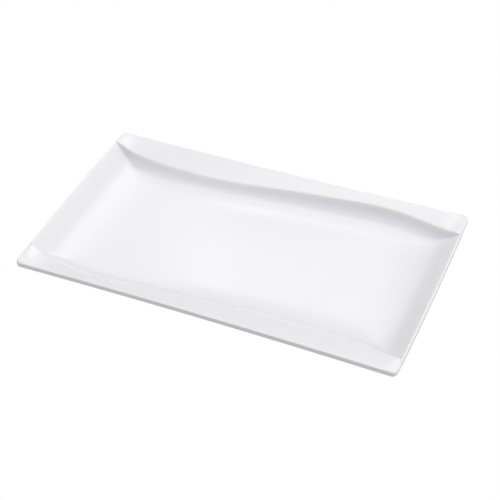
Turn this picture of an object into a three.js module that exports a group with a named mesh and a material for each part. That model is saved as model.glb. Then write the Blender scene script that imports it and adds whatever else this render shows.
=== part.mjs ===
// A rectangular china serving platter with two S-edged rims. Millimetres, +Z up.
// Origin: middle of the standing face of the foot ring. X runs along the platter.
//
// The ware is one fired body inside a thin coat of glaze. The glaze is bare on the standing face
// of the foot ring, so it falls into two islands: one outside the ring and one inside it.
// The platter looks the same after half a turn about Z, and every line below is drawn for the
// half with positive Y and then turned for the other half.

import * as THREE from "three";
import { mergeVertices } from "three/addons/utils/BufferGeometryUtils.js";

// ---- driving dimensions ----

const length = 335; // along X, between the corners
const width = 193.4; // along Y, between the corners
const endSwell = 1.15; // how far each end bows outwards at its middle
const sideDraw = 1.95; // how far each long side draws in at its middle
const cornerRadius = 4.5; // of the outline, seen from above
const wall = 5.2; // thickness of the ware, with its glaze, in rim, cove and floor
const topArris = 1.2; // rounding of the edge above
const lowArris = 1.5; // rounding of the edge below

const wellDepth = 15; // from the plane of the edge down to the floor
const lipWidth = 2.2; // the level lip along each short end
const steepestWall = THREE.MathUtils.degToRad(70); // a cove goes on straight from this slope

// A cove leaves the floor on a long radius, and turns up on a short one from its lead slope.
// The side coves are the tight ones under the S-edges.
const sideCove = { leadRadius: 90, leadSlope: THREE.MathUtils.degToRad(12), radius: 20 };
const endCove = { leadRadius: 300, leadSlope: THREE.MathUtils.degToRad(6.5), radius: 45 };

// Width of the rim from the long edge to the S-edge, from the left lip to the right lip.
// Each pair is a place, as a share of the half-length of the mouth, and the rim's width there.
const rimWidths = [
  [-1, 16.6],
  [-0.85, 21.7],
  [-0.6, 25.4],
  [-0.3, 24.7],
  [0, 19.3],
  [0.3, 14.4],
  [0.6, 11.8],
  [0.85, 17.9],
  [1, 25.2],
];
const rimFall = 0.25; // slope of the rim towards the well
const fallStart = 12; // distance from a lip in which the rim takes up half of that slope
const crestSoftness = 0.6; // easing of the S-edge and the lip
const creaseSoftness = 0.3; // easing where the side coves meet the end coves

const footHeight = 2.5; // from the standing face to the underside
const footInset = 3; // from the edge of the floor in to the foot ring
const footWidth = 5; // across the root of the ring
const footDraft = 0.6; // how far each wall of the ring leans in towards its face
const footRoot = 1; // rounding where the ring meets the underside
const bareBand = 0.8; // height of the unglazed band above the standing face

const glaze = 0.3; // thickness of the coat
const glazeGap = 0.1; // clearance between the coat and the body

// ---- how finely the shapes are drawn ----

const endSteps = 3; // along each half of a short end
const cornerSteps = 3; // round each corner
const sideSteps = 20; // along each long side
const sideCrowding = THREE.MathUtils.degToRad(70); // more draws those steps closer at the ends
const arrisSteps = 2; // over each rounding of the edge
const coveLevels = [0.75, 0.5, 0.28, 0.1, 0.02, 0]; // shares of the wall's height
const rimPlaces = [0.45, 0.86, 1]; // shares of the way from the arris to the crest
const floorCorner = 20; // corner radius of the floor line
const mouthCorner = 1.5; // corner radius of the mouth line
const leastFlat = 0.4; // from the mouth line to the rounding of the edge below

// ---- levels and lines that follow from them ----

const halfLength = length / 2;
const halfWidth = width / 2;
const floorHeight = footHeight + wall;
const edgeHeight = floorHeight + wellDepth;
const mouthHalf = halfLength - lipWidth;
const coat = glaze + glazeGap; // from the face of the glaze to the body

/** The larger of two heights, eased where they are within a few softnesses of each other. */
function easedMax(a, b, softness) {
  return (a + b) / 2 + Math.hypot((a - b) / 2, softness);
}

/** The smaller of two heights, eased in the same way. */
function easedMin(a, b, softness) {
  return (a + b) / 2 - Math.hypot((a - b) / 2, softness);
}

/** A smooth curve through [place, value] pairs, held level beyond the first and the last. */
function throughPairs(pairs) {
  const places = pairs.map((pair) => pair[0]);
  const values = pairs.map((pair) => pair[1]);
  const curve = new THREE.CubicInterpolant(places, values, 1, []);
  const first = places[0];
  const last = places[places.length - 1];
  return (place) => curve.evaluate(THREE.MathUtils.clamp(place, first, last))[0];
}

const rimWidthAt = throughPairs(rimWidths);

/** Slope of the rim at a place along X: none at the lips, the full fall away from them. */
function rimSlope(x) {
  const run = Math.max(mouthHalf - Math.abs(x), 0);
  return (rimFall * run ** 2) / (run ** 2 + fallStart ** 2);
}

/** Where the short radius of a cove has its centre: out from the floor's line, and above it. */
function coveCentre(cove) {
  const shift = cove.leadRadius - cove.radius;
  return {
    out: shift * Math.sin(cove.leadSlope),
    up: cove.leadRadius - shift * Math.cos(cove.leadSlope),
  };
}

/**
 * Height of a cove, at a distance outwards from the line where it leaves the floor. At a depth
 * below the face both radii are that much longer, which keeps the two surfaces parallel.
 */
function coveHeight(distance, cove, depth) {
  if (distance <= 0) return 0;
  const lead = cove.leadRadius + depth;
  const radius = cove.radius + depth;
  if (distance <= lead * Math.sin(cove.leadSlope)) {
    return lead - Math.sqrt(lead ** 2 - distance ** 2);
  }
  const centre = coveCentre(cove);
  const onArc = Math.min(distance, centre.out + radius * Math.sin(steepestWall));
  const arc = centre.up + depth - Math.sqrt(radius ** 2 - (onArc - centre.out) ** 2);
  return arc + (distance - onArc) * Math.tan(steepestWall);
}

/** How far the face of a cove reaches outwards before it has risen to a height. */
function coveReach(height, cove) {
  if (height <= cove.leadRadius * (1 - Math.cos(cove.leadSlope))) {
    return Math.sqrt(cove.leadRadius ** 2 - (cove.leadRadius - height) ** 2);
  }
  const centre = coveCentre(cove);
  const onArc = Math.min(height, centre.up - cove.radius * Math.cos(steepestWall));
  const arc = centre.out + Math.sqrt(cove.radius ** 2 - (centre.up - onArc) ** 2);
  return arc + (height - onArc) / Math.tan(steepestWall);
}

/** Y of the S-edge on the far side, and the height that its wall has above the floor. */
function mouthSide(x) {
  return halfWidth - rimWidthAt(x / mouthHalf);
}

function wallHeight(x) {
  return wellDepth - rimSlope(x) * rimWidthAt(x / mouthHalf);
}

/** Y where the far side's cove leaves the floor, and the X where an end's cove does. */
function floorSide(x) {
  return mouthSide(x) - coveReach(wallHeight(x), sideCove);
}

const floorHalf = mouthHalf - coveReach(wellDepth, endCove);

/**
 * Height of the surface that lies a depth below the face of the ware, measured square to it:
 * depth 0 is the face that is seen from above, and depth wall is the underside.
 */
function skin(x, y, depth) {
  if (y < 0) return skin(-x, -y, depth);
  const fromEdge = halfWidth - y;
  const rimWidth = rimWidthAt(x / mouthHalf);
  const inside = THREE.MathUtils.smoothstep(fromEdge - rimWidth, 0, sideCove.radius / 2);
  const drop = rimSlope(x) * Math.min(fromEdge, rimWidth) * (1 - inside);
  const rim = edgeHeight - depth - drop;
  const side = coveHeight(y - floorSide(x), sideCove, depth);
  const end = coveHeight(Math.abs(x) - floorHalf, endCove, depth);
  const well = floorHeight - depth - creaseSoftness + easedMax(side, end, creaseSoftness);
  return easedMin(rim, well, crestSoftness);
}

// ---- lines round the plan ----

/**
 * A closed line round the plan, anticlockwise from above: straight across each end, along
 * sideAt(x) on each long side, with rounded corners. Its points are plain [x, y] pairs.
 */
function planLine(halfLong, sideAt, corner) {
  const straight = halfLong - corner;
  const half = [];
  const turnPoint = (hand, step) => {
    const turn = (step / cornerSteps) * (Math.PI / 2);
    const x = hand * (straight + corner * Math.cos(turn));
    return [x, sideAt(x) - corner * (1 - Math.sin(turn))];
  };
  for (let i = 0; i < endSteps; i++) {
    half.push([halfLong, (i / endSteps) * turnPoint(1, 0)[1]]);
  }
  for (let i = 0; i < cornerSteps; i++) half.push(turnPoint(1, i));
  for (let i = 0; i < sideSteps; i++) {
    const swing = Math.sin(sideCrowding * (1 - (2 * i) / sideSteps));
    const x = (straight * swing) / Math.sin(sideCrowding);
    half.push([x, sideAt(x)]);
  }
  for (let i = cornerSteps; i > 0; i--) half.push(turnPoint(-1, i));
  for (let i = endSteps; i > 0; i--) {
    half.push([-halfLong, (i / endSteps) * turnPoint(-1, 0)[1]]);
  }
  return half.concat(half.map(([x, y]) => [-x, -y]));
}

/** The line of the outline, moved in by an inset. */
function edgeLine(inset) {
  const corner = Math.max(cornerRadius - inset, mouthCorner);
  return planLine(halfLength - inset, () => halfWidth - inset, corner);
}

/** The line of a share of the wall's height: 1 is the mouth of the well and 0 its floor. */
function wellLine(share, spread) {
  const half = floorHalf + coveReach(share * wellDepth, endCove) + spread.end;
  const sideAt = (x) => floorSide(x) + coveReach(share * wallHeight(x), sideCove) + spread.side;
  return planLine(half, sideAt, THREE.MathUtils.lerp(floorCorner, mouthCorner, share));
}

/** A line part of the way from one line to another. */
function between(from, to, share) {
  return from.map(([x, y], i) => [
    THREE.MathUtils.lerp(x, to[i][0], share),
    THREE.MathUtils.lerp(y, to[i][1], share),
  ]);
}

/** The line of the foot ring's walls, an inset in from the edge of the floor. */
function footLine(inset) {
  const corner = Math.max(floorCorner - inset, mouthCorner);
  return planLine(floorHalf - inset, (x) => floorSide(x) - inset, corner);
}

/** Lifts a plan line to a height, and bows the sides and ends of the plan. */
function lift(line, heightAt) {
  return line.map(([x, y]) => {
    const across = y / halfWidth;
    const along = x / halfLength;
    return [
      x + endSwell * (1 - across ** 2) * along,
      y - sideDraw * (1 - along ** 2) * across,
      heightAt(x, y),
    ];
  });
}

// ---- the stretches that the solids are made of, each a list of lifted lines ----

/** How far the face has dropped from its arris at an inset from the outline. */
function arrisDrop(inset, arris, depth) {
  const radius = arris - depth;
  return radius - Math.sqrt(Math.max(radius ** 2 - Math.max(arris - inset, 0) ** 2, 0));
}

/** The insets of the lines over an arris, from its top in to the flat to the outline. */
function arrisInsets(arris, depth) {
  return Array.from({ length: arrisSteps + 1 }, (_, i) => {
    const turn = (i / arrisSteps) * (Math.PI / 2);
    return arris - (arris - depth) * Math.sin(turn);
  });
}

/** The face of the ware a depth in, from the middle of the floor out to the outline. */
function face(depth) {
  const flush = { side: 0, end: 0 };
  const height = (x, y) => skin(x, y, depth);
  const mouth = wellLine(1, flush);
  const arrisEnd = edgeLine(topArris);
  const well = [...coveLevels].reverse().map((share) => wellLine(share, flush));
  const rim = [...rimPlaces].reverse().map((share) => between(arrisEnd, mouth, share));
  const edge = arrisInsets(topArris, depth).map((inset) =>
    lift(edgeLine(inset), (x, y) => height(x, y) - arrisDrop(inset, topArris, depth)),
  );
  return [...well, ...rim].map((line) => lift(line, height)).concat(edge);
}

/** The underside a depth in from its glaze, from the outline in to the edge of the floor. */
function underside(depth) {
  const endWall = Math.acos((coveCentre(endCove).up - wellDepth) / endCove.radius);
  const spread = {
    side: wall * Math.tan(steepestWall / 2),
    end: Math.min(wall * Math.tan(endWall / 2), lipWidth - lowArris - leastFlat),
  };
  const height = (x, y) => skin(x, y, wall - depth);
  const arrisEnd = edgeLine(lowArris);
  const edge = arrisInsets(lowArris, depth)
    .reverse()
    .map((inset) =>
      lift(edgeLine(inset), (x, y) => height(x, y) + arrisDrop(inset, lowArris, depth)),
    );
  const mouth = wellLine(1, spread);
  const rim = rimPlaces.map((share) => between(arrisEnd, mouth, share));
  const well = coveLevels.map((share) =>
    wellLine(share, { side: spread.side * share, end: spread.end * share }),
  );
  return edge.concat([...rim, ...well].map((line) => lift(line, height)));
}

/** How far a wall of the foot ring has leaned in by a height, from its turn into the root. */
function footLean(top, low) {
  return (footDraft * (top - low)) / (footHeight - footRoot);
}

/** The outer wall of the foot ring a depth in, from its root down to a height. */
function footOuterWall(depth, low) {
  const inset = footInset + depth;
  const top = footHeight - footRoot + depth;
  return [
    lift(footLine(inset - footRoot), () => top + footRoot),
    lift(footLine(inset), () => top),
    lift(footLine(inset + footLean(top, low)), () => low),
  ];
}

/** The inner wall of the foot ring a depth in, from a height up to its root. */
function footInnerWall(depth, low) {
  const inset = footInset + footWidth - depth;
  const top = footHeight - footRoot + depth;
  return [
    lift(footLine(inset - footLean(top, low)), () => low),
    lift(footLine(inset), () => top),
    lift(footLine(inset + footRoot), () => top + footRoot),
  ];
}

/**
 * A closed body from lines that run from its upper middle, round its edge, to its lower middle.
 * The lines from backFrom up to backTo are ones that were drawn the other way. Their strips are
 * cut along the other diagonal, so that the two faces of a coat stay parallel to each other and
 * to the body.
 */
function closedBody(lines, backFrom = 0, backTo = 0) {
  const round = lines[0].length;
  const positions = lines.flat(2);
  const upperMiddle = lines.length * round;
  const lowerMiddle = upperMiddle + 1;
  const last = upperMiddle - round;
  positions.push(0, 0, lines[0][0][2]);
  positions.push(0, 0, lines[lines.length - 1][0][2]);
  const index = [];
  for (let j = 0; j < round; j++) {
    const next = (j + 1) % round;
    index.push(upperMiddle, j, next);
    index.push(lowerMiddle, last + next, last + j);
    for (let i = 0; i + 1 < lines.length; i++) {
      const inner = i * round;
      const outer = inner + round;
      const backwards = i >= backFrom && i + 1 < backTo;
      index.push(inner + j, outer + j, backwards ? inner + next : outer + next);
      index.push(backwards ? outer + j : inner + j, outer + next, inner + next);
    }
  }
  const geometry = new THREE.BufferGeometry();
  geometry.setAttribute("position", new THREE.Float32BufferAttribute(positions, 3));
  geometry.setIndex(index);
  return mergeVertices(geometry);
}

// ---- the pieces ----

/** The fired body: the ware less its coat, with the bare standing face of its foot ring. */
function porcelainBody() {
  return closedBody([
    ...face(coat),
    ...underside(coat),
    ...footOuterWall(coat, 0),
    ...footInnerWall(coat, 0),
  ]);
}

/** The coat over the face, round the edge, and under the ware to the foot's outer wall. */
function outerGlaze() {
  const outside = [...face(0), ...underside(0), ...footOuterWall(0, bareBand)];
  const inside = [...face(glaze), ...underside(glaze), ...footOuterWall(glaze, bareBand)];
  const lines = [...outside, ...inside.reverse()];
  return closedBody(lines, outside.length, lines.length);
}

/** The island of glaze under the floor, down the foot ring's inner wall. */
function wellGlaze() {
  const upper = footInnerWall(glaze, bareBand).reverse();
  return closedBody([...upper, ...footInnerWall(0, bareBand)], 0, upper.length);
}

const bisque = new THREE.MeshStandardMaterial({ color: 0xefebe4, roughness: 0.85, metalness: 0 });
const glossyGlaze = new THREE.MeshStandardMaterial({
  color: 0xf6f7fa,
  roughness: 0.12,
  metalness: 0,
});

/** A named piece of the platter. */
function piece(name, geometry, material) {
  const mesh = new THREE.Mesh(geometry, material);
  mesh.name = name;
  return mesh;
}

const platter = new THREE.Group();
platter.add(piece("porcelain_body", porcelainBody(), bisque));
platter.add(piece("outer_glaze", outerGlaze(), glossyGlaze));
platter.add(piece("well_glaze", wellGlaze(), glossyGlaze.clone()));

export default platter;
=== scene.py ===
# %% [markdown]
# # A glazed china platter
#
# This lesson builds the looks of a white serving platter around its measured frame. The real
# thing is one piece of fired porcelain inside a coat of glaze. The whole shape is a formula, so
# the surfaces are worked out as arrays of points and handed to Blender as finished meshes.
# Sizes are in millimetres until the last moment, because that is how ware is drawn.

# %% Load the fixed frame
import bpy
import numpy as np
from mathutils import Matrix, Vector


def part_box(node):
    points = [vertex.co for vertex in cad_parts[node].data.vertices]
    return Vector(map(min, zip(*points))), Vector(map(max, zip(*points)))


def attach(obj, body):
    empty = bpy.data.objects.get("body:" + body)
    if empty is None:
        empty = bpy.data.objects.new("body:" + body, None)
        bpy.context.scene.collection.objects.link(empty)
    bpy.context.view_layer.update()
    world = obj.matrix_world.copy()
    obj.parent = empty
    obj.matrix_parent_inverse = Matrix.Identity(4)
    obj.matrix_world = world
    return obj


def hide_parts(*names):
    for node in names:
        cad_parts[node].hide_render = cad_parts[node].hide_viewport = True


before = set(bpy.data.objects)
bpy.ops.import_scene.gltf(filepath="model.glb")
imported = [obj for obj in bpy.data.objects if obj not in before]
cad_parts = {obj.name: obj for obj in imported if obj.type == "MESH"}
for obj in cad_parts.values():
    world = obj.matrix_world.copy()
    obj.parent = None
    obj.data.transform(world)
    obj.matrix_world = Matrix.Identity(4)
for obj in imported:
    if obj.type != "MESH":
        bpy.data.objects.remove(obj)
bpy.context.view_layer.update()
MM = 0.001  # metres in a millimetre


def mm(corner):
    """A corner of a box, from metres to millimetres."""
    return np.array(corner) / MM


coat_low, coat_high = (mm(corner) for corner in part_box("outer_glaze"))
print("platter box in mm:", coat_low.round(1), coat_high.round(1))

# %% [markdown]
# ## Camera
#
# The camera looks down on the platter from the front right with a longish lens, as is usual
# for tableware, so that the sides hardly converge. It is placed by the way it looks: a turn
# round the table, a rise above it, a distance, and a slight tilt of the horizon. The lights
# are placed by a turn and a rise as well, so one function serves both.

# %% Camera
CAMERA_TURN = 25.84  # degrees round from the front, towards the right-hand end
CAMERA_RISE = 42.51  # degrees above the table
CAMERA_TILT = -2.97  # degrees that the view is turned about its middle
CAMERA_AWAY = 998.8  # from the camera to the point it looks at
CAMERA_AIM = (10.3, -11.1)  # the point it looks at, in the plane of the platter's edge
LENS = 86.0  # focal length on a 36 mm wide sensor


def towards(turn, rise):
    """Direction out from the table: (sin turn cos rise, -cos turn cos rise, sin rise)."""
    turn, rise = np.radians([turn, rise])
    return Vector((np.sin(turn) * np.cos(rise), -np.cos(turn) * np.cos(rise), np.sin(rise)))


def in_scene(name, data):
    """A new object in the scene that holds a camera, a light or a mesh."""
    thing = bpy.data.objects.new(name, data)
    bpy.context.scene.collection.objects.link(thing)
    return thing


camera_data = bpy.data.cameras.new("camera")
camera_data.lens = LENS
camera = in_scene("camera", camera_data)
back = towards(CAMERA_TURN, CAMERA_RISE)
aim = Vector((*CAMERA_AIM, coat_high[2])) * MM
roll = Matrix.Rotation(np.radians(CAMERA_TILT), 4, "Z")
turned = back.to_track_quat("Z", "Y").to_matrix().to_4x4() @ roll
camera.matrix_world = Matrix.Translation(aim + back * CAMERA_AWAY * MM) @ turned
bpy.context.scene.camera = camera
print("camera at", [round(v, 4) for v in camera.location])

# %% [markdown]
# ## The form
#
# The well is pressed into a flat slab. Its long walls are tight coves under two S-shaped edges,
# and its ends sweep up slowly to thin lips. Each surface is a height over the plan: the coves
# are joined with a softened "larger of", and the rims cut them off with a softened "smaller
# of". The softening gives the crease and the rolled edge that glaze leaves on real ware.
# A point a depth below the face has a formula too, because a cove of radius r has a parallel
# cove of radius r + depth under it. One formula then draws the face, the underside and the
# line between the body and its coat.

# %% Driving sizes of the form
END_SWELL = 1.15  # how far each end bows out at its middle
SIDE_DRAW = 1.95  # how far each long side draws in at its middle
CORNER = 4.5  # corner radius of the outline
WALL = 5.2  # thickness of the ware with its glaze
TOP_ARRIS, LOW_ARRIS = 1.2, 1.5  # rounding of the edge, above and below
WELL_DEPTH = 15.0  # from the edge down to the floor
LIP = 2.2  # width of the thin lip at each end
STEEPEST = np.radians(70)  # the slope from which a cove goes on straight
RIM_FALL, FALL_START = 0.25, 12.0  # slope of the rims, and where it sets in beyond the lips
CREST_EASE, CREASE_EASE = 0.6, 0.3  # softening of the S-edges and of the well's corners
# Widths of the far rim at places from the left lip, -1, to the right lip, 1.
RIM_PLACES = np.array([-1, -0.85, -0.6, -0.3, 0, 0.3, 0.6, 0.85, 1])
RIM_WIDTHS = np.array([16.6, 21.7, 25.4, 24.7, 19.3, 14.4, 11.8, 17.9, 25.2])
# A cove leaves the floor on a long radius and turns up on a short one from its lead slope.
SIDE_COVE = {"lead": 90.0, "slope": np.radians(12), "radius": 20.0}  # under the S-edges
END_COVE = {"lead": 300.0, "slope": np.radians(6.5), "radius": 45.0}  # up to the ends
RIM_RETURN = SIDE_COVE["radius"] / 2  # way inside an S-edge over which the rim's slope ends
FOOT_HEIGHT, FOOT_INSET, FOOT_WIDTH = 2.5, 3.0, 5.0  # inset from the edge of the floor
FOOT_DRAFT, FOOT_ROOT = 0.6, 1.0  # lean of each wall of the foot, and radius of its root
GLAZE, GLAZE_GAP = 0.3, 0.1
CORNER_SHORTFALL = 0.1  # the rounded corners stop this far short of the full width

half_length = coat_high[0] - END_SWELL
half_width = coat_high[1] + CORNER_SHORTFALL
floor_level = FOOT_HEIGHT + WALL
edge_level = floor_level + WELL_DEPTH
mouth_half = half_length - LIP
bare_band = coat_low[2]  # height up the foot to which it is left without glaze
print("edge stands at", round(edge_level, 2), "and the box ends at", coat_high[2].round(2))

# %% Easing between two heights
def eased_max(a, b, ease):
    """The larger of two heights: their mean plus the length of (half their difference, ease)."""
    return (a + b) / 2 + np.hypot((a - b) / 2, ease)


def eased_min(a, b, ease):
    """The smaller of two heights: their mean less the same length."""
    return (a + b) / 2 - np.hypot((a - b) / 2, ease)


def smooth_step(value):
    """0 below 0, 1 above 1, and 3t^2 - 2t^3 between."""
    t = np.clip(value, 0, 1)
    return t * t * (3 - 2 * t)


print("a crease is filled by", eased_max(0.0, 0.0, CREASE_EASE), "where its two walls meet")

# %% Rims
def rim_width(x):
    """Width of the far rim at x: a cubic curve through RIM_WIDTHS, piece by piece.

    The slope at each place is the mean of the slopes to its two neighbours, and at an end it
    is the slope to the one neighbour.
    """
    steps = np.diff(RIM_PLACES)
    slopes = np.diff(RIM_WIDTHS) / steps
    tangents = np.r_[slopes[0], (slopes[:-1] + slopes[1:]) / 2, slopes[-1]]
    place = np.clip(x / mouth_half, -1, 1)
    i = np.clip(np.searchsorted(RIM_PLACES, place) - 1, 0, len(steps) - 1)
    t = (place - RIM_PLACES[i]) / steps[i]
    ahead = smooth_step(t)
    return (
        (1 - ahead) * RIM_WIDTHS[i]
        + ahead * RIM_WIDTHS[i + 1]
        + t * (1 - t) ** 2 * steps[i] * tangents[i]
        - t * t * (1 - t) * steps[i] * tangents[i + 1]
    )


def rim_slope(x):
    """Slope of the rim at x: run^2 / (run^2 + start^2) of the full fall, run from the lip."""
    run = np.maximum(mouth_half - np.abs(x), 0)
    return RIM_FALL * run**2 / (run**2 + FALL_START**2)


def wall_height(x):
    """Height of the far wall above the floor, where the rim has fallen to the S-edge."""
    return WELL_DEPTH - rim_slope(x) * rim_width(x)


print("wall heights along the far side:", wall_height(RIM_PLACES * mouth_half).round(1))

# %% Coves
def cove_centre(cove):
    """Centre of a cove's short radius, out from the floor's line and up from the floor."""
    shift = cove["lead"] - cove["radius"]
    return shift * np.sin(cove["slope"]), cove["lead"] - shift * np.cos(cove["slope"])


def cove_height(out, cove, depth):
    """Height of a cove a distance out from the floor, both radii longer by the depth.

    A circle's arc R - sqrt(R^2 - out^2) leads in, an arc of the short radius goes on from it,
    and past the steepest slope the wall is straight.
    """
    lead, radius = cove["lead"] + depth, cove["radius"] + depth
    centre_out, centre_up = cove_centre(cove)
    leading = np.clip(out, 0, lead * np.sin(cove["slope"]))
    arc_end = centre_out + radius * np.sin(STEEPEST)
    turning = np.clip(out, centre_out, arc_end) - centre_out
    straight = np.maximum(out - arc_end, 0) * np.tan(STEEPEST)
    low = lead - np.sqrt(lead**2 - leading**2)
    high = centre_up + depth - np.sqrt(radius**2 - turning**2) + straight
    return np.where(out <= lead * np.sin(cove["slope"]), low, high)


def cove_reach(height, cove):
    """How far out the face of a cove has come when it has risen to a height."""
    lead, radius = cove["lead"], cove["radius"]
    centre_out, centre_up = cove_centre(cove)
    lead_height = lead * (1 - np.cos(cove["slope"]))
    arc_height = centre_up - radius * np.cos(STEEPEST)
    leading = np.clip(height, 0, lead_height)
    turning = np.clip(height, lead_height, arc_height)
    straight = np.maximum(height - arc_height, 0) / np.tan(STEEPEST)
    low = np.sqrt(lead**2 - (lead - leading) ** 2)
    high = centre_out + np.sqrt(radius**2 - (centre_up - turning) ** 2) + straight
    return np.where(height <= lead_height, low, high)


floor_half = mouth_half - float(cove_reach(WELL_DEPTH, END_COVE))
print("floor runs to x", round(floor_half, 1), "and the end's cove on to", round(mouth_half, 1))

# %% The skin of the ware
def floor_side(x):
    """Y where the far cove leaves the floor."""
    return half_width - rim_width(x) - cove_reach(wall_height(x), SIDE_COVE)


def skin(x, y, depth):
    """Height of the surface a depth below the face: eased_min(rim, well) over the plan.

    The well is eased_max(side cove, end cove) on the floor, less the CREASE_EASE that the
    easing adds where both are flat. The platter looks the same after half a turn, so points
    with negative y are turned to the far side first.
    """
    hand = np.where(y < 0, -1.0, 1.0)
    x, y = x * hand, y * hand
    from_edge, rim = half_width - y, rim_width(x)
    inside = smooth_step((from_edge - rim) / RIM_RETURN)
    drop = rim_slope(x) * np.minimum(from_edge, rim) * (1 - inside)
    side = cove_height(y - floor_side(x), SIDE_COVE, depth)
    end = cove_height(np.abs(x) - floor_half, END_COVE, depth)
    well = floor_level - depth - CREASE_EASE + eased_max(side, end, CREASE_EASE)
    return eased_min(edge_level - depth - drop, well, CREST_EASE)


print("middle of the floor at", skin(np.zeros(1), np.zeros(1), 0).round(2))

# %% [markdown]
# ## Lines round the plan
#
# The mesh is woven from closed lines that run round the platter, each with the same number of
# points, like the rings of a tree. Some follow the outline, some the S-edges and some the edge
# of the floor. Because the lines follow the features, a fold in the surface runs along the
# mesh, never across it, and stays clean. Each kind of line is a whole array at once: one row
# for each line, one column for each point round it.

# %% One closed line
SIDE_STEPS, END_STEPS, CORNER_STEPS = 150, 28, 8  # along a side, half an end and a corner
CROWDING = np.radians(75)  # draws the steps along a side closer together towards the corners


def plan_lines(half_long, side_at, corner):
    """Closed lines, one row each: across the ends, round the corners, along side_at(x).

    half_long and corner are columns with one value for each line. A corner is a quarter of a
    circle taken off the side's own curve. The far half is drawn and then turned half round.
    """
    straight = half_long - corner
    turn = np.linspace(0, np.pi / 2, CORNER_STEPS + 1)
    right_x = straight + corner * np.cos(turn)
    right_y = side_at(right_x) - corner * (1 - np.sin(turn))
    left_x = -right_x[:, ::-1]
    left_y = side_at(left_x) - corner * (1 - np.sin(turn[::-1]))
    swing = np.sin(CROWDING * np.linspace(1, -1, SIDE_STEPS + 1)) / np.sin(CROWDING)
    side_x = (straight * swing)[:, 1:-1]
    rise = np.arange(END_STEPS) / END_STEPS
    end_x = half_long * np.ones(END_STEPS)
    x = np.hstack([end_x, right_x, side_x, left_x, -end_x])[:, :-1]
    y = np.hstack([
        right_y[:, :1] * rise, right_y, side_at(side_x), left_y,
        left_y[:, -1:] * (1 - (np.arange(END_STEPS) + 1) / END_STEPS),
    ])[:, :-1]
    return np.hstack([x, -x]), np.hstack([y, -y])


def column(values):
    """Values as a column, one for each line."""
    return np.atleast_1d(np.asarray(values, float))[:, None]


print("steps along a side, half an end and a corner:", SIDE_STEPS, END_STEPS, CORNER_STEPS)

# %% Lines of the edge, the well and the foot
FLOOR_CORNER, MOUTH_CORNER = 20.0, 1.5  # corner radii of the floor's edge and of the mouth
CORNER_REACH = 30.0  # how far from a corner a line up the side's wall starts to match the end's
MATCH_LIMIT = 1.4  # the match raises a line to this many times its height at the most
MATCH_FADE = 4  # power of the share by which the match fades out at the mouth


def edge_lines(insets):
    """The outline, moved in by each inset."""
    insets = column(insets)
    corner = np.maximum(CORNER - insets, MOUTH_CORNER)
    return plan_lines(half_length - insets, lambda x: half_width - insets + 0 * x, corner)


def well_lines(shares, side_spread=0.0, end_spread=0.0):
    """Lines up the well's wall: share 0 is the edge of the floor and share 1 the mouth.

    Along the sides a line stands at its share of the wall's own height. Within CORNER_REACH of
    a corner it eases over to the same share of the full depth, and so meets the end's line at
    the crease. The spreads move the lines outwards, by the whole spread at the mouth.
    """
    shares = column(shares)
    half_long = floor_half + cove_reach(shares * WELL_DEPTH, END_COVE) + end_spread * shares

    def side_at(x):
        own = wall_height(x)
        near = smooth_step(1 - (half_long - np.abs(x)) / CORNER_REACH) * (1 - shares**MATCH_FADE)
        height = own * (1 - near) + np.minimum(WELL_DEPTH, own * MATCH_LIMIT) * near
        return floor_side(x) + cove_reach(shares * height, SIDE_COVE) + side_spread * shares

    corner = FLOOR_CORNER + (MOUTH_CORNER - FLOOR_CORNER) * shares
    return plan_lines(half_long, side_at, corner)


def foot_lines(insets):
    """Lines round the foot ring, moved in from the edge of the floor."""
    insets = column(insets)
    corner = np.maximum(FLOOR_CORNER - insets, MOUTH_CORNER)
    return plan_lines(floor_half - insets, lambda x: floor_side(x) - insets, corner)


def between(start, end, shares):
    """Lines part of the way from one line to another."""
    shares = column(shares)
    return tuple(a[-1:] * (1 - shares) + b[:1] * shares for a, b in zip(start, end))


print("points round each line:", edge_lines([0])[0].shape[1])

# %% [markdown]
# ## From lines to surfaces
#
# A stretch is a set of lines with their heights. The face is one stretch, the underside
# another, and each wall of the foot ring one more. The edge is softened by a quarter circle
# over its top and another under it. Last of all the plan is bowed by a millimetre or two,
# because ware draws in along its long sides as it dries and fires.

# %% From the plan into space
def lifted(lines, heights):
    """Points in space from plan lines: the plan is bowed by parabolas, then given heights."""
    x, y = lines
    along, across = x / half_length, y / half_width
    bowed_x = x + END_SWELL * (1 - across**2) * along
    bowed_y = y - SIDE_DRAW * (1 - along**2) * across
    return np.stack([bowed_x, bowed_y, heights + 0 * x], axis=-1)


def arris(radius, depth, steps):
    """Insets and drops over a quarter circle, from the flat out to the outline."""
    turn = np.linspace(0, np.pi / 2, steps + 1)[1:]
    return radius - (radius - depth) * np.sin(turn), (radius - depth) * (1 - np.cos(turn))


print("the outline is bowed out to x", lifted(edge_lines([0]), 0)[..., 0].max().round(2))

# %% Face, underside and foot
LEAST_FLAT = 0.4  # from the underside's mouth line to the rounding of the edge below
ROOT_STEPS = 4  # round the root of the foot


def face(depth, wall_steps, rim_steps, arris_steps):
    """The face of the ware: floor edge, wall, rim and upper arris, from the middle outwards."""
    climb = np.sin(np.linspace(0, np.pi / 2, wall_steps + 1))
    well = well_lines(climb**2)
    flat = edge_lines([TOP_ARRIS])
    rim = between(well, flat, np.linspace(0, 1, rim_steps + 1)[1:] ** 2)
    insets, drops = arris(TOP_ARRIS, depth, arris_steps)
    edge = edge_lines(insets)
    inner = [lifted(lines, skin(*lines, depth)) for lines in (well, rim)]
    return np.vstack(inner + [lifted(edge, skin(*edge, depth) - column(drops))])


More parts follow.
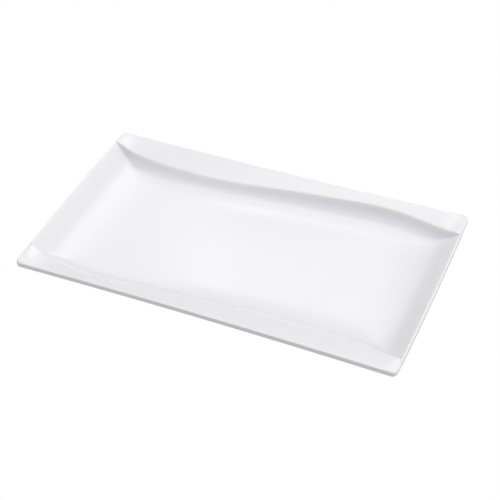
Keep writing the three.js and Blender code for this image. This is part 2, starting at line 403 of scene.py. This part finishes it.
def underside(depth, wall_steps, rim_steps, arris_steps):
    """The underside, from the outline inwards to the edge of the floor."""
    level = WALL - depth
    insets, drops = arris(LOW_ARRIS, depth, arris_steps)
    edge = edge_lines(insets[::-1])
    climb = np.sin(np.linspace(np.pi / 2, 0, wall_steps + 1))
    well = well_lines(climb**2, WALL * np.tan(STEEPEST / 2), LIP - LOW_ARRIS - LEAST_FLAT)
    rim = between(edge_lines([LOW_ARRIS]), well, 1 - np.linspace(1, 0, rim_steps + 1)[:-1] ** 2)
    inner = [lifted(lines, skin(*lines, level)) for lines in (rim, well)]
    return np.vstack([lifted(edge, skin(*edge, level) + column(drops[::-1]))] + inner)


def foot_wall(depth, low, outer):
    """One wall of the foot ring, from its rounded root down to a height.

    The root is a quarter circle of radius FOOT_ROOT, and below it the wall leans in.
    """
    turn = np.linspace(0, np.pi / 2, ROOT_STEPS + 1)
    top = FOOT_HEIGHT - FOOT_ROOT + depth
    lean = FOOT_DRAFT * (top - low) / (FOOT_HEIGHT - FOOT_ROOT)
    insets = np.r_[depth - FOOT_ROOT * (1 - np.sin(turn)), depth + lean]
    heights = np.r_[top + FOOT_ROOT * np.cos(turn), low]
    insets = FOOT_INSET + (insets if outer else FOOT_WIDTH - insets)
    return lifted(foot_lines(insets), column(heights))


print("heights down the foot's outer wall:", foot_wall(0, 0.0, True)[:, 0, 2].round(2))

# %% [markdown]
# ## Weaving
#
# Neighbouring lines have the same number of points, so the face between two of them is a strip
# of four-sided faces, and all the strips can be numbered in one sum of arrays. The first and
# the last line are closed by a fan of triangles to a middle point. Blender takes such arrays
# directly, which is far quicker than adding one point after another.

# %% Weaving lines into a mesh
def strips(count, around):
    """Point numbers of the faces between count lines: own, next line's, and their followers."""
    this = np.arange(around)
    following = np.roll(this, -1)
    inner = (np.arange(count - 1) * around)[:, None]
    outer = inner + around
    corners = [inner + this, outer + this, outer + following, inner + following]
    return np.stack(corners, -1).reshape(-1, 4)


def fan(middle, line):
    """Point numbers of the triangles from a middle point to each step of a line."""
    return np.stack([np.full(len(line), middle), line, np.roll(line, -1)], -1)


def mesh_object(name, points, quads, triangles):
    """A smooth-shaded mesh in the scene: points in metres, then faces as point numbers."""
    sizes = np.repeat([4, 3], [len(quads), len(triangles)])
    mesh = bpy.data.meshes.new(name)
    mesh.vertices.add(len(points))
    mesh.vertices.foreach_set("co", points.ravel())
    mesh.loops.add(quads.size + triangles.size)
    mesh.loops.foreach_set("vertex_index", np.r_[quads.ravel(), triangles.ravel()])
    mesh.polygons.add(len(sizes))
    mesh.polygons.foreach_set("loop_start", np.cumsum(sizes) - sizes)
    mesh.update(calc_edges=True)
    mesh.polygons.foreach_set("use_smooth", np.ones(len(sizes), bool))
    return in_scene(name, mesh)


def woven(name, lines):
    """A closed piece from lines that run from its upper middle, round it, to its lower middle."""
    count, around, _ = lines.shape
    middles = [[0, 0, lines[0, 0, 2]], [0, 0, lines[-1, 0, 2]]]
    points = np.vstack([lines.reshape(-1, 3), middles]) * MM
    quads = strips(count, around)
    first = np.arange(around)
    last = first + (count - 1) * around
    low_fan = fan(count * around + 1, last)[:, [0, 2, 1]]  # turned over, so that it faces down
    triangles = np.vstack([fan(count * around, first), low_fan])
    print(name, "has", len(points), "points and", 2 * len(quads) + len(triangles), "triangles")
    return mesh_object(name, points, quads, triangles)


# %% [markdown]
# ## The three pieces
#
# Real ware is dipped in glaze and its foot is wiped, so the glaze is in two islands: one over
# the face, round the edge and down to the foot, and one inside the foot ring. Each island is a
# closed skin of even thickness over the fired body. The surface that is seen has fine steps,
# and the surfaces inside the coat have coarse ones.

# %% The three pieces
# Steps up the wall, across the rim and round the arris.
FINE = {"face_steps": (70, 22, 6), "under_steps": (30, 9, 6)}
COARSE = {"face_steps": (24, 8, 3), "under_steps": (16, 5, 3)}


def shell(depth, low, face_steps, under_steps):
    """The skin a depth down: face, underside and the foot's outer wall down to a height."""
    upper, under = face(depth, *face_steps), underside(depth, *under_steps)
    return np.vstack([upper, under, foot_wall(depth, low, True)])


def fired_body():
    """The fired porcelain under the coat, with the bare standing face of its foot ring."""
    depth = GLAZE + GLAZE_GAP / 2  # a narrower gap than the frame's: real glaze leaves none
    inner_wall = foot_wall(depth, 0.0, False)[::-1]
    return woven("fired_body", np.vstack([shell(depth, 0.0, **COARSE), inner_wall]))


def face_glaze():
    """The coat over the face, round the edge and under the ware as far as the foot ring."""
    outside, inside = shell(0, bare_band, **FINE), shell(GLAZE, bare_band, **COARSE)
    return woven("face_glaze", np.vstack([outside, inside[::-1]]))


def under_glaze():
    """The island of glaze inside the foot ring."""
    upper, lower = (foot_wall(depth, bare_band, False) for depth in (GLAZE, 0))
    return woven("under_glaze", np.vstack([upper, lower[::-1]]))


body, coat, island = fired_body(), face_glaze(), under_glaze()

# %% [markdown]
# ## Ties to the frame
#
# Each new piece takes the place of one piece of the frame. The platter has no moving parts, so
# all three ride on its one body.

# %% Ties to the frame
for piece, node, slot in (
    (body, "porcelain_body", "bisque"),
    (coat, "outer_glaze", "glaze"),
    (island, "well_glaze", "well_glaze"),
):
    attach(piece, "root")
    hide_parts(node)
print("three pieces ride the root and stand in for their frame pieces")

# %% [markdown]
# ## Where the glaze runs
#
# Glaze melts in the kiln and flows a little. It pulls away from rolled edges, where the warmer
# body shows through, and gathers in hollows, where it looks deeper and cooler. Both follow
# from how much the surface curves. The curve of a height field is its height at four
# neighbours less four times its own height: hollows come out above zero and crests below it.
# That one number for each point is stored on the mesh, and the glaze material reads it.

# %% Run of the glaze from the curve of the surface
NEIGHBOUR = 1.6  # distance to the four neighbours
DEEPEST_CURVE = 0.16  # a curve, in rise over NEIGHBOUR squared, that counts as a full hollow


def flattened(points):
    """Plan places before the bow, to within a few hundredths: its parabolas taken off again."""
    along, across = points[:, 0] / half_length, points[:, 1] / half_width
    x = points[:, 0] - END_SWELL * (1 - across**2) * along
    y = points[:, 1] + SIDE_DRAW * (1 - along**2) * across
    return x, y


def glaze_run(points):
    """From -1 on a crest to 1 in a hollow: (sum of four neighbours - 4 times itself) / scale.

    Points more than half a wall below the face belong to the underside, where a hollow of the
    face is a crest, so their sign is turned round.
    """
    x, y = flattened(points)
    step = NEIGHBOUR
    around = sum(skin(x + a, y + b, 0) for a, b in ((step, 0), (-step, 0), (0, step), (0, -step)))
    top = skin(x, y, 0)
    hand = np.where(top - points[:, 2] > WALL / 2, -1, 1)
    curve = hand * (around - 4 * top) / step**2
    to_edge = np.minimum(half_length - np.abs(x), half_width - np.abs(y))
    rolled = 1 - smooth_step(to_edge / TOP_ARRIS)
    return np.clip(curve / DEEPEST_CURVE, -1, 1) * (1 - rolled) - rolled


for piece in (coat, island):
    count = len(piece.data.vertices)
    places = np.empty(count * 3)
    piece.data.vertices.foreach_get("co", places)
    run = glaze_run(places.reshape(-1, 3) / MM) if piece is coat else np.zeros(count)
    piece.data.attributes.new("glaze_run", "FLOAT", "POINT").data.foreach_set("value", run)
    print(piece.name, "glaze runs from", run.min().round(2), "to", run.max().round(2))


# %% [markdown]
# ## Materials
#
# Hotel porcelain is white clay under a clear, glassy glaze with a faint blue cast, fired until
# it fuses. The eye knows it by four things: sharp but soft-rimmed reflections, a skin that
# ripples by a few hundredths of a millimetre where the glaze levelled out, crests a trace
# warmer than the hollows, and a few pin-sized iron specks. The foot is different. Its
# glaze was wiped off so that it wouldn't stick to the kiln shelf, and the bare clay is matt,
# creamy, and rubbed a little grey by tables. Patterns are sized in real millimetres through
# object coordinates, so they don't stretch with the piece.

# %% Colour and node helpers
def linear(hex_colour):
    """An sRGB colour such as "ffffff" as the linear light that shaders work in.

    Up to 0.04045 a channel c is c / 12.92, and above that it is ((c + 0.055) / 1.055)^2.4.
    """
    c = np.array([int(hex_colour[i : i + 2], 16) for i in (0, 2, 4)]) / 255
    light = np.where(c <= 0.04045, c / 12.92, ((c + 0.055) / 1.055) ** 2.4)
    return (*light.tolist(), 1.0)


def per_metre(size):
    """Texture scale that gives features of a size in millimetres."""
    return 1 / (size * MM)


def add_node(tree, kind, settings=None, links=None):
    """Adds a node. Settings go to its sockets, by name or number, or else to its properties."""
    node = tree.nodes.new(kind)
    for name, value in (settings or {}).items():
        if isinstance(name, int) or name in node.inputs:
            node.inputs[name].default_value = value
        else:
            setattr(node, name, value)
    for name, output in (links or {}).items():
        tree.links.new(node.inputs[name], output)
    return node


# Sockets of a Map Range node, which carries a number from one span to another.
SPANS = ("From Min", "From Max", "To Min", "To Max")


def new_material(name, settings):
    """A material with its shader set up, and the node that gives object coordinates."""
    material = bpy.data.materials.new(name)
    material.use_nodes = True
    tree = material.node_tree
    shader = tree.nodes["Principled BSDF"]
    for socket, value in settings.items():
        shader.inputs[socket].default_value = value
    places = add_node(tree, "ShaderNodeTexCoord").outputs["Object"]
    return material, tree, shader, places


print("middle grey in linear light:", round(linear("808080")[0], 3))

# %% Colour of the glaze
THIN_GLAZE, EVEN_GLAZE, DEEP_GLAZE = "f7f6f5", "f5f5f9", "f0f1f7"  # crest, flat and hollow
SPECK_SPACING, SPECK_SHARE = 14.0, 0.12  # size of a cell, and the share of cells with a speck
SPECK_REACH = 0.3  # from the middle of a speck to where it has faded out
SPECK_COLOUR = "8a8078"


def run_colour(tree):
    """Warm white at -1, where the glaze has run thin, through even to cool white at 1."""
    run = add_node(tree, "ShaderNodeAttribute", {"attribute_name": "glaze_run"})
    share = add_node(
        tree, "ShaderNodeMapRange", dict(zip(SPANS, (-1, 1, 0, 1))), {"Value": run.outputs["Fac"]}
    )
    colour = add_node(tree, "ShaderNodeValToRGB", links={"Fac": share.outputs["Result"]})
    stops = colour.color_ramp.elements
    stops.new(0.5)
    for stop, shade in zip(stops, (THIN_GLAZE, EVEN_GLAZE, DEEP_GLAZE)):
        stop.color = linear(shade)
    return colour.outputs["Color"]


def speck_share(tree, places):
    """From 1 in the middle of a speck to 0 at its reach, in a small share of the cells."""
    cell = add_node(
        tree, "ShaderNodeTexVoronoi", {"Scale": per_metre(SPECK_SPACING)}, {"Vector": places}
    )
    near = add_node(
        tree, "ShaderNodeMapRange", dict(zip(SPANS, (0, SPECK_REACH / SPECK_SPACING, 1, 0))),
        {"Value": cell.outputs["Distance"]},
    )
    pick = add_node(tree, "ShaderNodeSeparateColor", links={"Color": cell.outputs["Color"]})
    rare = add_node(
        tree, "ShaderNodeMath", {"operation": "LESS_THAN", 1: SPECK_SHARE}, {0: pick.outputs[0]}
    )
    speck = add_node(
        tree, "ShaderNodeMath", {"operation": "MULTIPLY"},
        {0: near.outputs["Result"], 1: rare.outputs[0]},
    )
    return speck.outputs[0]


print("a speck in about one cell of", round(1 / SPECK_SHARE), "each", SPECK_SPACING, "mm wide")

# %% Shine and ripple of the glaze
GLAZE_ROUGHNESS = (0.15, 0.22)
WEAR, WEAR_SPAN = 60.0, (0.3, 0.7)  # size of the worn places, and the noise values they span
WAVE, WAVE_HEIGHT = 28.0, 0.03
RIPPLE, RIPPLE_HEIGHT = 2.2, 0.0012


def uneven_shine(tree, places):
    """Roughness that wipe and wash wear has made uneven from place to place."""
    wear = add_node(
        tree, "ShaderNodeTexNoise", {"Scale": per_metre(WEAR), "Detail": 3.0}, {"Vector": places}
    )
    roughness = add_node(
        tree, "ShaderNodeMapRange", dict(zip(SPANS, (*WEAR_SPAN, *GLAZE_ROUGHNESS))),
        {"Value": wear.outputs["Fac"]},
    )
    return roughness.outputs["Result"]


def levelled_surface(tree, places):
    """Normals of molten glaze that has levelled out: long low waves with a finer ripple."""
    waves = add_node(
        tree, "ShaderNodeTexNoise", {"Scale": per_metre(WAVE), "Detail": 1.0}, {"Vector": places}
    )
    ripple = add_node(
        tree, "ShaderNodeTexNoise", {"Scale": per_metre(RIPPLE), "Detail": 1.0},
        {"Vector": places},
    )
    slow = add_node(
        tree, "ShaderNodeBump", {"Strength": 1.0, "Distance": WAVE_HEIGHT * MM},
        {"Height": waves.outputs["Fac"]},
    )
    fine = add_node(
        tree, "ShaderNodeBump", {"Strength": 1.0, "Distance": RIPPLE_HEIGHT * MM},
        {"Height": ripple.outputs["Fac"], "Normal": slow.outputs["Normal"]},
    )
    return fine.outputs["Normal"]


print("the glaze waves by", WAVE_HEIGHT, "mm over", WAVE, "mm")

# %% Glazed porcelain
def glazed_porcelain():
    """Clear glaze over white clay: cooler where it pools, warmer where it has run thin."""
    material, tree, shader, places = new_material("glazed_porcelain", {"IOR": 1.5})
    specked = add_node(
        tree, "ShaderNodeMixRGB", {"Color2": linear(SPECK_COLOUR)},
        {"Fac": speck_share(tree, places), "Color1": run_colour(tree)},
    )
    tree.links.new(shader.inputs["Base Color"], specked.outputs["Color"])
    tree.links.new(shader.inputs["Roughness"], uneven_shine(tree, places))
    tree.links.new(shader.inputs["Normal"], levelled_surface(tree, places))
    return material


glaze = glazed_porcelain()
for piece in (coat, island):
    piece.data.materials.append(glaze)
print("glaze nodes:", len(glaze.node_tree.nodes))

# %% [markdown]
# ## Bare porcelain
#
# Fired clay without glaze is dense but dull. A fine grain breaks up its shine, and the
# standing face picks up a grey bloom in patches as it slides on tables.

# %% Bare porcelain
CLAY, RUBBED_CLAY = "efebe3", "d6d3ce"
CLAY_ROUGHNESS = (0.85, 0.6)  # as fired, and where it is rubbed
RUB_REACH = FOOT_HEIGHT / 5  # height up the foot at which the rubbing has faded out
RUB_PATCH, RUB_SPAN = 9.0, (0.4, 0.65)  # size of the patches, and the noise values they span
GRAIN, GRAIN_HEIGHT = 0.4, 0.02  # coarser than real clay, so that it shows


def rub(tree, places):
    """How far the clay is rubbed, 0 to 1: patches that fade out from the standing face up."""
    patches = add_node(
        tree, "ShaderNodeTexNoise", {"Scale": per_metre(RUB_PATCH), "Detail": 4.0},
        {"Vector": places},
    )
    patchy = add_node(
        tree, "ShaderNodeMapRange", dict(zip(SPANS, (*RUB_SPAN, 0, 1))),
        {"Value": patches.outputs["Fac"]},
    )
    height = add_node(tree, "ShaderNodeSeparateXYZ", links={"Vector": places})
    low = add_node(
        tree, "ShaderNodeMapRange", dict(zip(SPANS, (0, RUB_REACH * MM, 1, 0))),
        {"Value": height.outputs["Z"]},
    )
    rubbed = add_node(
        tree, "ShaderNodeMath", {"operation": "MULTIPLY"},
        {0: low.outputs["Result"], 1: patchy.outputs["Result"]},
    )
    return rubbed.outputs[0]


def bare_porcelain():
    """Creamy matt clay with a fine grain, rubbed grey in patches on its standing face."""
    material, tree, shader, places = new_material("bare_porcelain", {"IOR": 1.52})
    rubbed = rub(tree, places)
    colour = add_node(tree, "ShaderNodeValToRGB", links={"Fac": rubbed})
    for stop, shade in zip(colour.color_ramp.elements, (CLAY, RUBBED_CLAY)):
        stop.color = linear(shade)
    tree.links.new(shader.inputs["Base Color"], colour.outputs["Color"])
    worn = add_node(
        tree, "ShaderNodeMapRange", dict(zip(SPANS, (0, 1, *CLAY_ROUGHNESS))), {"Value": rubbed}
    )
    tree.links.new(shader.inputs["Roughness"], worn.outputs["Result"])
    grain = add_node(
        tree, "ShaderNodeTexNoise", {"Scale": per_metre(GRAIN), "Detail": 2.0},
        {"Vector": places},
    )
    bump = add_node(
        tree, "ShaderNodeBump", {"Strength": 1.0, "Distance": GRAIN_HEIGHT * MM},
        {"Height": grain.outputs["Fac"]},
    )
    tree.links.new(shader.inputs["Normal"], bump.outputs["Normal"])
    return material


body.data.materials.append(bare_porcelain())
print("body is", body.data.materials[0].name)

# %% [markdown]
# ## The studio
#
# The platter lies on a white sweep, as ware often does in a studio: a floor that curves up
# into a wall with no corner. The sweep is evenly white to the camera only, like a light table,
# so that no shadow is left round the platter. What a white floor throws back at the edge and
# the underside comes from the world instead, which is brighter below the horizon than above.

# %% Sweep
CLEARANCE = 0.2  # from the sweep up to the foot, too little to see and enough to part them
BEND_STEPS, ROUND_STEPS = 24, 96


def sweep(floor_radius, bend, height):
    """A floor that bends up into a wall all the way round: a profile turned about Z.

    The profile is flat to floor_radius, then a quarter circle of radius bend, then upright.
    """
    turn = np.linspace(0, np.pi / 2, BEND_STEPS + 1)
    out = column(np.r_[floor_radius, floor_radius + bend * np.sin(turn), floor_radius + bend])
    up = column(np.r_[0, bend * (1 - np.cos(turn)), height])
    around = np.linspace(0, 2 * np.pi, ROUND_STEPS, endpoint=False)
    rings = np.stack([out * np.cos(around), out * np.sin(around), up + 0 * around], -1)
    points = np.vstack([rings.reshape(-1, 3), np.zeros(3)]) - [0, 0, CLEARANCE * MM]
    cap = fan(len(points) - 1, np.arange(ROUND_STEPS))
    return mesh_object("studio_sweep", points, strips(len(out), ROUND_STEPS), cap)


def glowing_white(name, strength):
    """A surface that gives off even white light and reflects none."""
    material = bpy.data.materials.new(name)
    material.use_nodes = True
    tree = material.node_tree
    tree.nodes.clear()
    glow = add_node(tree, "ShaderNodeEmission", {"Color": linear("ffffff"), "Strength": strength})
    add_node(tree, "ShaderNodeOutputMaterial", links={"Surface": glow.outputs["Emission"]})
    return material


floor = sweep(floor_radius=3.0, bend=1.0, height=4.0)
floor.data.materials.append(glowing_white("pale_sweep", 1.0))
for ray in ("diffuse", "glossy", "transmission", "volume_scatter", "shadow"):
    setattr(floor, "visible_" + ray, False)
print("sweep faces:", len(floor.data.polygons))

# %% [markdown]
# ## Soft boxes
#
# Glossy ware is lit by large soft sources, because it shows their shapes. One hangs over the
# table, four stand behind it at different heights, one stands at the right, and three low
# strips stand round it to draw light along the rolled edges. The world fills in the rest.

# %% World and soft boxes
WORLD_BELOW, WORLD_ABOVE = 0.48, 0.325  # strengths below and above the horizon
HORIZON_BAND = (-0.4, 0.1)  # upward part of a direction at which each strength is reached
# Turn and rise in degrees, width and height in metres, and power in watts.
SOFT_BOXES = {
    "overhead": (0, 90, 1.6, 1.6, 3.2),
    "behind": (205.5, 42, 1.4, 1.1, 3.4),
    "behind_small": (200, 50, 0.6, 0.5, 1.9),
    "behind_high": (205.5, 70, 1.2, 0.6, 5.3),
    "behind_left": (228, 43, 1.0, 0.7, 2.2),
    "right_side": (90, 40, 1.2, 1.2, 8.2),
    "right_strip": (115, 10, 2.4, 0.6, 8.0),
    "left_strip": (295, 10, 2.4, 0.6, 3.4),
    "front_strip": (25, 10, 2.4, 0.6, 3.2),
}
BOX_AWAY = 1.8  # metres from the middle of the table to each soft box


def studio_world():
    """Even light from all round: one strength below the horizon, easing to another above it."""
    world = bpy.data.worlds.new("studio")
    world.use_nodes = True
    tree = world.node_tree
    way = add_node(tree, "ShaderNodeTexCoord").outputs["Generated"]
    height = add_node(tree, "ShaderNodeSeparateXYZ", links={"Vector": way}).outputs["Z"]
    spans = dict(zip(SPANS, (*HORIZON_BAND, WORLD_BELOW, WORLD_ABOVE)))
    strength = add_node(tree, "ShaderNodeMapRange", spans, {"Value": height})
    background = tree.nodes["Background"]
    background.inputs["Color"].default_value = linear("ffffff")
    tree.links.new(background.inputs["Strength"], strength.outputs["Result"])
    return world


def soft_box(name, turn, rise, wide, high, watts):
    """A rectangular light that faces the table from a turn and a rise."""
    back = towards(turn, rise)
    light_data = bpy.data.lights.new(name, "AREA")
    light_data.shape = "RECTANGLE"
    light_data.size, light_data.size_y, light_data.energy = wide, high, watts
    light = in_scene(name, light_data)
    light.location = back * BOX_AWAY
    light.rotation_euler = back.to_track_quat("Z", "Y").to_euler()


bpy.context.scene.world = studio_world()
for name, numbers in SOFT_BOXES.items():
    soft_box(name, *numbers)
bpy.context.scene.view_settings.view_transform = "Standard"
print("soft boxes:", ", ".join(SOFT_BOXES))
